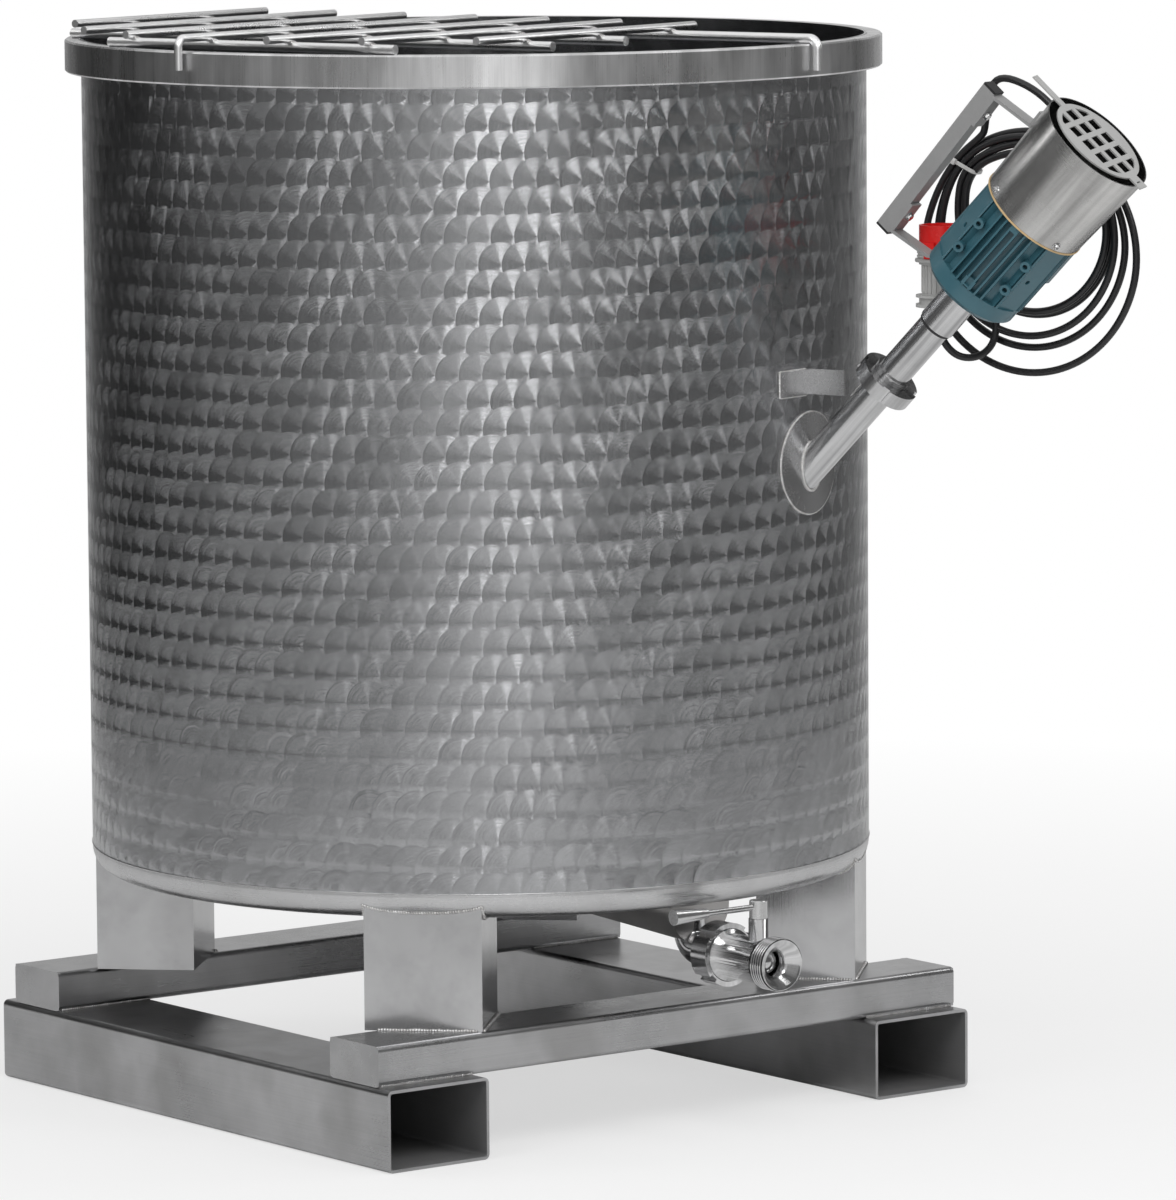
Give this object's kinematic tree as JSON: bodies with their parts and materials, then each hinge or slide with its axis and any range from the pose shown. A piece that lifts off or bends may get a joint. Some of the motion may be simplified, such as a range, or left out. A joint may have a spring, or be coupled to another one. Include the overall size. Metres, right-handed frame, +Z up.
{
  "type": "mixing tank",
  "caption": "Open round steel mixing tank on a pallet frame, with a slanted motor mixer through its wall, a ball valve at its drain and a safety grille.",
  "frame": {"origin": "on the floor, under the middle of the whole; the round tank's axis is at x = 0, y = 0.1935", "axes": "+Z up; the drain valve and the open ends of the fork tubes face -Y, +X is to the right seen from there"},
  "size_m": [1.0246, 1.407, 1.348],
  "materials": {
    "stainless": "stainless sheet and tube, engine-turned spots on the shell",
    "stainless_dark": "plain stainless sheet",
    "motor_paint": "satin blue-green paint",
    "gasket": "tan gasket",
    "rubber": "matt black",
    "black_plastic": "matt",
    "grey_plastic": "matt light grey",
    "red_plastic": "glossy red",
    "cable": "satin black sheath",
    "tie": "light grey nylon"
  },
  "bodies": {
    "tank": {"bottom_head": "stainless_dark", "brace_strap": "stainless", "cable_coil": "cable", "cable_gland": "black_plastic", "cable_lead": "cable", "cable_tail": "cable", "cable_tie": "tie", "cooling_fan": "black_plastic", "cowl_cover": "grey_plastic", "cowl_gasket": "gasket", "cross_tube_front": "stainless", "cross_tube_rear": "stainless", "fan_cowl": "stainless", "fan_shaft": "stainless", "fork_tube_left": "stainless", "fork_tube_right": "stainless", "handle_bar": "stainless", "handle_bracket_lower": "stainless", "handle_bracket_upper": "stainless", "handle_caps": "black_plastic", "leg_front_left": "stainless", "leg_front_right": "stainless", "leg_rear_left": "stainless", "leg_rear_right": "stainless", "mixer_shaft": "stainless", "mixer_sleeve": "stainless", "mixer_tube": "stainless", "motor_housing": "motor_paint", "motor_neck": "stainless", "neck_seal": "rubber", "outlet_elbow": "stainless", "plug_body": "grey_plastic", "plug_shroud": "red_plastic", "propeller": "stainless", "rim_tube": "stainless", "safety_grille": "stainless", "sleeve_nut": "stainless", "sump_channel": "stainless", "tank_shell": "stainless", "terminal_box": "motor_paint", "union_nut": "stainless", "valve_body": "stainless", "wall_pad": "stainless"},
    "lever": {"valve_ball": "stainless", "valve_lever": "stainless"}
  },
  "joints": [
    {"name": "valve_turn", "type": "hinge", "parent": "tank", "child": "lever", "pos_m": [0, -0.3685, 0.294], "axis": [0, 0, 1], "range_deg": [0, 90]}
  ]
}
